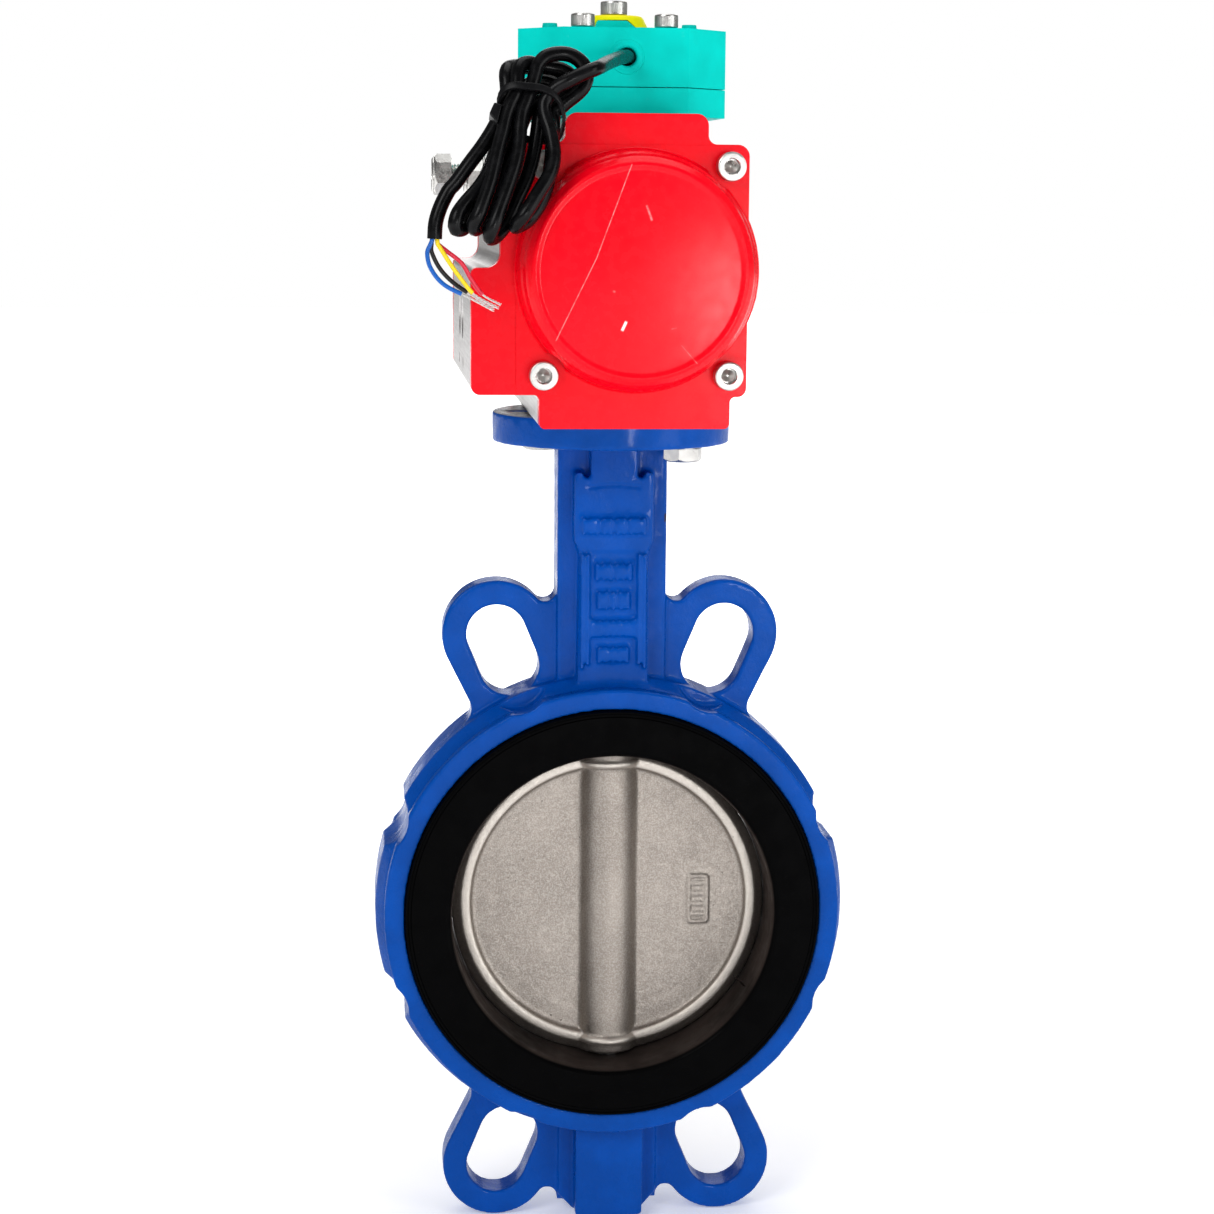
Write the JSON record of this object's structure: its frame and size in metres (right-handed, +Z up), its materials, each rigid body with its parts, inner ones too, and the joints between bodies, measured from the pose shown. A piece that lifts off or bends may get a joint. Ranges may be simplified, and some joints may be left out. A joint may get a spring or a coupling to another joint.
{
  "type": "pneumatic actuated butterfly valve",
  "caption": "Long-neck wafer butterfly valve turned by a rack-and-pinion pneumatic actuator, with a position-sensor box on top and a tied cable hank.",
  "frame": {"origin": "centre of the pipe bore, on the stem's axis", "axes": "+Z up along the stem to the actuator, +Y along the pipe away from the front face, +X to the right seen from the front"},
  "size_m": [0.181, 0.2229, 0.4694],
  "materials": {
    "blue_paint": "glossy epoxy over sand-cast iron",
    "rubber": "matte black moulded rubber",
    "cast_steel": "fine sand-cast stainless, matte",
    "steel": "bright stainless",
    "alloy": "satin anodised",
    "red_paint": "glossy paint on die-cast alloy",
    "bronze": "plain bearing bronze",
    "acetal": "natural acetal",
    "teal_plastic": "satin moulded plastic",
    "yellow_plastic": "satin moulded plastic",
    "board": "lacquered board",
    "cable_jacket": "satin black jacket",
    "core_blue_skin": "satin core insulation",
    "core_black_skin": "satin core insulation",
    "core_yellow_skin": "satin core insulation",
    "core_red_skin": "satin core insulation"
  },
  "bodies": {
    "housing": {"valve_body": "blue_paint", "seat_liner": "rubber", "stem_o_ring_lower": "rubber", "stem_o_ring_upper": "rubber", "front_cap_o_ring": "rubber", "rear_cap_o_ring": "rubber", "stem_snap_ring": "steel", "bottom_plug": "steel", "flange_bolt_front": "steel", "flange_bolt_rear": "steel", "stop_bolt_front": "steel", "stop_bolt_rear": "steel", "stop_nut_front": "steel", "stop_nut_rear": "steel", "cap_screw_front_1": "steel", "cap_screw_front_2": "steel", "cap_screw_front_3": "steel", "cap_screw_front_4": "steel", "cap_screw_rear_1": "steel", "cap_screw_rear_2": "steel", "cap_screw_rear_3": "steel", "cap_screw_rear_4": "steel", "sensor_screw_1": "steel", "sensor_screw_2": "steel", "sensor_screw_3": "steel", "sensor_screw_4": "steel", "actuator_body": "alloy", "front_cap": "red_paint", "rear_cap": "red_paint", "pinion_lower_bearing": "bronze", "pinion_upper_bearing": "bronze", "upper_bush": "acetal", "middle_bush": "acetal", "lower_bush": "acetal", "thrust_washer": "acetal", "sensor_base": "teal_plastic", "sensor_cover": "teal_plastic", "cable_gland": "teal_plastic", "sensor_switch": "board", "cable_lead": "cable_jacket", "cable_hank": "cable_jacket", "cable_tail": "cable_jacket", "cable_tie": "cable_jacket", "core_blue": "core_blue_skin", "core_black": "core_black_skin", "core_yellow": "core_yellow_skin", "core_red": "core_red_skin"},
    "drive": {"disc": "cast_steel", "upper_stem": "steel", "lower_stem": "steel", "pinion": "steel", "pinion_circlip": "steel", "sensor_shaft": "acetal", "indicator_puck": "yellow_plastic", "indicator_pointer": "teal_plastic", "puck_screw": "steel"},
    "front_piston_body": {"front_piston": "alloy", "front_piston_ring": "rubber"},
    "rear_piston_body": {"rear_piston": "alloy", "rear_piston_ring": "rubber"}
  },
  "joints": [
    {"name": "valve_turn", "type": "hinge", "parent": "housing", "child": "drive", "pos_m": [0, 0, 0], "axis": [0, 0, 1], "range_deg": [0, 90]},
    {"name": "front_piston_slide", "type": "slide", "parent": "housing", "child": "front_piston_body", "axis": [0, -1, 0], "range_m": [0, 0.0236]},
    {"name": "rear_piston_slide", "type": "slide", "parent": "housing", "child": "rear_piston_body", "axis": [0, 1, 0], "range_m": [0, 0.0236]}
  ],
  "couplings": [
    {"joint": "front_piston_slide", "follows": "valve_turn", "m_per_rad": 0.015},
    {"joint": "rear_piston_slide", "follows": "valve_turn", "m_per_rad": 0.015}
  ]
}
